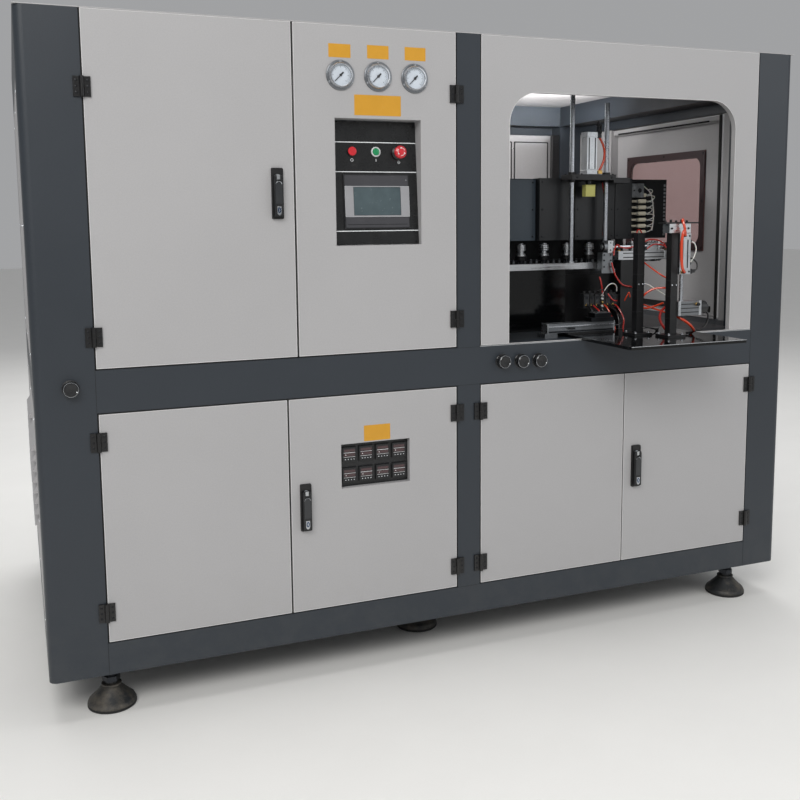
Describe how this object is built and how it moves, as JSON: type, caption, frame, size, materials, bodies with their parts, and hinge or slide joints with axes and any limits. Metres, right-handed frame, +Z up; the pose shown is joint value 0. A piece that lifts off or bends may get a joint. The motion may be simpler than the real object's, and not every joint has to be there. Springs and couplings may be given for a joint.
{
  "type": "blow moulding machine",
  "caption": "Stretch blow moulding machine in a free-standing sheet-steel cabinet with hinged doors, control panel, open loading window, oven, preform conveyor and clamp.",
  "frame": {"origin": "centre of the bounding box on the floor, under the levelling feet", "axes": "+X to the right along the front, +Y from the front to the back, +Z up"},
  "size_m": [2.6804, 1.792, 2.043],
  "materials": {
    "frame_paint": "dark blue-grey fine-textured powder coat",
    "panel_paint": "light warm grey fine-textured powder coat",
    "deck_steel": "blue-grey paint, semi-gloss",
    "foot_iron": "black enamel on cast iron",
    "black_paint": "black paint, satin",
    "black_gloss": "black paint, gloss",
    "zinc_steel": "zinc-plated steel",
    "face_plate": "black printed sheet, satin, no lettering",
    "panel_case": "dark grey plastic case",
    "red_button": "red translucent plastic",
    "green_button": "green translucent plastic",
    "red_head": "red plastic, satin",
    "stem_grey": "light grey plastic",
    "gauge_steel": "polished steel rim, white dial",
    "needle_black": "black painted aluminium",
    "controller_plastic": "black plastic instrument cases",
    "knob_plastic": "black plastic, gloss",
    "cylinder_aluminium": "anodised, satin",
    "ground_steel": "hard-chromed ground rod",
    "mill_aluminium": "mill finish",
    "oven_steel": "black heat-resistant paint",
    "lamp_quartz": "quartz tube with ceramic ends",
    "chain_steel": "oiled dark steel",
    "spindle_chrome": "bright chrome",
    "sprocket_steel": "machined steel",
    "clamp_paint": "blue-grey machine paint",
    "mould_aluminium": "machined aluminium",
    "acrylic": "tinted transparent acrylic",
    "pad_plastic": "pale yellow-green plastic pad on a steel rod",
    "unit_paint": "grey machine paint"
  },
  "bodies": {
    "cabinet": {"frame_columns": "frame_paint", "frame_rails": "frame_paint", "deck_plates": "deck_steel", "levelling_feet": "foot_iron", "fixed_panels": "panel_paint", "window_panel": "panel_paint", "hinge_halves": "black_paint", "table_plate": "black_gloss", "black_brackets": "black_paint", "aluminium_rails": "mill_aluminium", "guide_rods": "ground_steel", "pneumatic_cylinders": "cylinder_aluminium", "oven_boxes": "oven_steel", "oven_lamps": "lamp_quartz", "conveyor_chain": "chain_steel", "preform_spindles": "spindle_chrome", "clamp_frame": "clamp_paint", "cabinet_units": "unit_paint"},
    "upper_left_door": {"upper_left_door": "panel_paint", "handle_base_1": "black_paint"},
    "control_door": {"control_door": "panel_paint", "control_face": "face_plate", "touch_panel": "panel_case", "gauge_cases": "gauge_steel"},
    "lower_door_1": {"lower_door_1": "panel_paint"},
    "lower_door_2": {"lower_door_2": "panel_paint", "temperature_controllers": "controller_plastic", "handle_base_2": "black_paint"},
    "lower_door_3": {"lower_door_3": "panel_paint"},
    "lower_door_4": {"lower_door_4": "panel_paint", "handle_base_3": "black_paint"},
    "side_door": {"side_door": "panel_paint", "side_window": "acrylic"},
    "handle_spindle_1": {"handle_spindle_1": "zinc_steel"},
    "handle_lever_1": {"handle_lever_1": "black_gloss"},
    "gauge_needle_1": {"gauge_needle_1": "needle_black"},
    "handle_spindle_2": {"handle_spindle_2": "zinc_steel"},
    "handle_lever_2": {"handle_lever_2": "black_gloss"},
    "gauge_needle_2": {"gauge_needle_2": "needle_black"},
    "handle_spindle_3": {"handle_spindle_3": "zinc_steel"},
    "handle_lever_3": {"handle_lever_3": "black_gloss"},
    "gauge_needle_3": {"gauge_needle_3": "needle_black"},
    "regulator_knob_1": {"regulator_knob_1": "knob_plastic"},
    "regulator_knob_2": {"regulator_knob_2": "knob_plastic"},
    "regulator_knob_3": {"regulator_knob_3": "knob_plastic"},
    "regulator_knob_4": {"regulator_knob_4": "knob_plastic"},
    "stop_button": {"stop_button": "red_button"},
    "start_button": {"start_button": "green_button"},
    "emergency_stem": {"emergency_stem": "stem_grey"},
    "emergency_head": {"emergency_head": "red_head"},
    "slide_carriage": {"slide_carriage": "cylinder_aluminium"},
    "transfer_rod": {"transfer_rod": "ground_steel"},
    "lift_rod": {"lift_rod": "ground_steel"},
    "press_pad": {"press_pad": "pad_plastic"},
    "drive_sprocket": {"drive_sprocket": "sprocket_steel"},
    "idler_sprocket": {"idler_sprocket": "sprocket_steel"},
    "front_platen": {"front_platen": "mould_aluminium"},
    "rear_platen": {"rear_platen": "mould_aluminium"},
    "blow_head": {"blow_head": "mould_aluminium"},
    "stretch_rods": {"stretch_rods": "ground_steel"}
  },
  "joints": [
    {"name": "upper_left_door_swing", "type": "hinge", "parent": "cabinet", "child": "upper_left_door", "pos_m": [-1.1585, -0.6107, 1.482], "axis": [0, 0, -1], "range_deg": [0, 110]},
    {"name": "control_door_swing", "type": "hinge", "parent": "cabinet", "child": "control_door", "pos_m": [-0.0275, -0.6107, 1.493], "axis": [0, 0, 1], "range_deg": [0, 110]},
    {"name": "lower_door_1_swing", "type": "hinge", "parent": "cabinet", "child": "lower_door_1", "pos_m": [-1.1585, -0.6107, 0.577], "axis": [0, 0, -1], "range_deg": [0, 110]},
    {"name": "lower_door_2_swing", "type": "hinge", "parent": "cabinet", "child": "lower_door_2", "pos_m": [-0.0275, -0.6107, 0.5645], "axis": [0, 0, 1], "range_deg": [0, 90]},
    {"name": "lower_door_3_swing", "type": "hinge", "parent": "cabinet", "child": "lower_door_3", "pos_m": [0.058, -0.6107, 0.5645], "axis": [0, 0, -1], "range_deg": [0, 90]},
    {"name": "lower_door_4_swing", "type": "hinge", "parent": "cabinet", "child": "lower_door_4", "pos_m": [1.1725, -0.6107, 0.5785], "axis": [0, 0, 1], "range_deg": [0, 110]},
    {"name": "side_door_swing", "type": "hinge", "parent": "cabinet", "child": "side_door", "pos_m": [1.3337, 0.503, 1.445], "axis": [0, 0, 1], "range_deg": [0, 100]},
    {"name": "handle_turn_1", "type": "hinge", "parent": "upper_left_door", "child": "handle_spindle_1", "pos_m": [-0.616, -0.614, 1.587], "axis": [0, 1, 0], "range_deg": [0, 90]},
    {"name": "handle_lift_1", "type": "hinge", "parent": "handle_spindle_1", "child": "handle_lever_1", "pos_m": [-0.616, -0.618, 1.587], "axis": [-1, 0, 0], "range_deg": [0, 30]},
    {"name": "handle_turn_2", "type": "hinge", "parent": "lower_door_2", "child": "handle_spindle_2", "pos_m": [-0.549, -0.614, 0.615], "axis": [0, -1, 0], "range_deg": [0, 90]},
    {"name": "handle_lift_2", "type": "hinge", "parent": "handle_spindle_2", "child": "handle_lever_2", "pos_m": [-0.549, -0.618, 0.615], "axis": [-1, 0, 0], "range_deg": [0, 30]},
    {"name": "handle_turn_3", "type": "hinge", "parent": "lower_door_4", "child": "handle_spindle_3", "pos_m": [0.675, -0.614, 0.623], "axis": [0, -1, 0], "range_deg": [0, 90]},
    {"name": "handle_lift_3", "type": "hinge", "parent": "handle_spindle_3", "child": "handle_lever_3", "pos_m": [0.675, -0.618, 0.623], "axis": [-1, 0, 0], "range_deg": [0, 30]},
    {"name": "stop_button_push", "type": "slide", "parent": "control_door", "child": "stop_button", "axis": [0, 0.997, -0.0775], "range_m": [0, 0.004], "stiffness_N_per_m": 400, "springref_m": -0.001},
    {"name": "start_button_push", "type": "slide", "parent": "control_door", "child": "start_button", "axis": [0, 0.997, -0.0775], "range_m": [0, 0.004], "stiffness_N_per_m": 400, "springref_m": -0.001},
    {"name": "emergency_push", "type": "slide", "parent": "control_door", "child": "emergency_stem", "axis": [0, 0.997, -0.0775], "range_m": [0, 0.006]},
    {"name": "emergency_twist", "type": "hinge", "parent": "emergency_stem", "child": "emergency_head", "pos_m": [-0.2097, -0.57975, 1.66903], "axis": [0, -0.997, 0.0775], "range_deg": [-45, 0], "stiffness_Nm_per_rad": 0.02},
    {"name": "gauge_needle_turn_1", "type": "hinge", "parent": "control_door", "child": "gauge_needle_1", "pos_m": [-0.413, -0.609, 1.892], "axis": [0, 1, 0], "range_deg": [0, 270]},
    {"name": "gauge_needle_turn_2", "type": "hinge", "parent": "control_door", "child": "gauge_needle_2", "pos_m": [-0.292, -0.609, 1.893], "axis": [0, 1, 0], "range_deg": [0, 270]},
    {"name": "gauge_needle_turn_3", "type": "hinge", "parent": "control_door", "child": "gauge_needle_3", "pos_m": [-0.171, -0.609, 1.892], "axis": [0, 1, 0], "range_deg": [0, 270]},
    {"name": "regulator_turn_1", "type": "hinge", "parent": "cabinet", "child": "regulator_knob_1", "pos_m": [-1.228, -0.614, 0.993], "axis": [0, 1, 0], "range_deg": [-150, 150]},
    {"name": "regulator_turn_2", "type": "hinge", "parent": "cabinet", "child": "regulator_knob_2", "pos_m": [0.138, -0.614, 0.987], "axis": [0, 1, 0], "range_deg": [-150, 150]},
    {"name": "regulator_turn_3", "type": "hinge", "parent": "cabinet", "child": "regulator_knob_3", "pos_m": [0.208, -0.614, 0.984], "axis": [0, 1, 0], "range_deg": [-150, 150]},
    {"name": "regulator_turn_4", "type": "hinge", "parent": "cabinet", "child": "regulator_knob_4", "pos_m": [0.276, -0.614, 0.982], "axis": [0, 1, 0], "range_deg": [-150, 150]},
    {"name": "slide_carriage_travel", "type": "slide", "parent": "cabinet", "child": "slide_carriage", "axis": [-1, 0, 0], "range_m": [0, 0.15]},
    {"name": "transfer_rod_stroke", "type": "slide", "parent": "cabinet", "child": "transfer_rod", "axis": [-1, 0, 0], "range_m": [0, 0.08]},
    {"name": "lift_rod_stroke", "type": "slide", "parent": "cabinet", "child": "lift_rod", "axis": [0, 0, 1], "range_m": [0, 0.09]},
    {"name": "press_pad_stroke", "type": "slide", "parent": "cabinet", "child": "press_pad", "axis": [0, 0, -1], "range_m": [0, 0.1]},
    {"name": "drive_sprocket_turn", "type": "hinge", "parent": "cabinet", "child": "drive_sprocket", "pos_m": [1.04, -0.054, 1.29], "axis": [0, 0, 1], "continuous": true},
    {"name": "idler_sprocket_turn", "type": "hinge", "parent": "cabinet", "child": "idler_sprocket", "pos_m": [-0.06, -0.054, 1.29], "axis": [0, 0, 1], "continuous": true},
    {"name": "front_platen_stroke", "type": "slide", "parent": "cabinet", "child": "front_platen", "axis": [0, 1, 0], "range_m": [0, 0.0798]},
    {"name": "rear_platen_stroke", "type": "slide", "parent": "cabinet", "child": "rear_platen", "axis": [0, -1, 0], "range_m": [0, 0.0798]},
    {"name": "blow_head_stroke", "type": "slide", "parent": "cabinet", "child": "blow_head", "axis": [0, 0, 1], "range_m": [0, 0.08]},
    {"name": "stretch_rods_stroke", "type": "slide", "parent": "blow_head", "child": "stretch_rods", "axis": [0, 0, -1], "range_m": [0, 0.18]}
  ],
  "couplings": [
    {"joint": "idler_sprocket_turn", "follows": "drive_sprocket_turn", "ratio": 1},
    {"joint": "rear_platen_stroke", "follows": "front_platen_stroke", "ratio": 1}
  ]
}
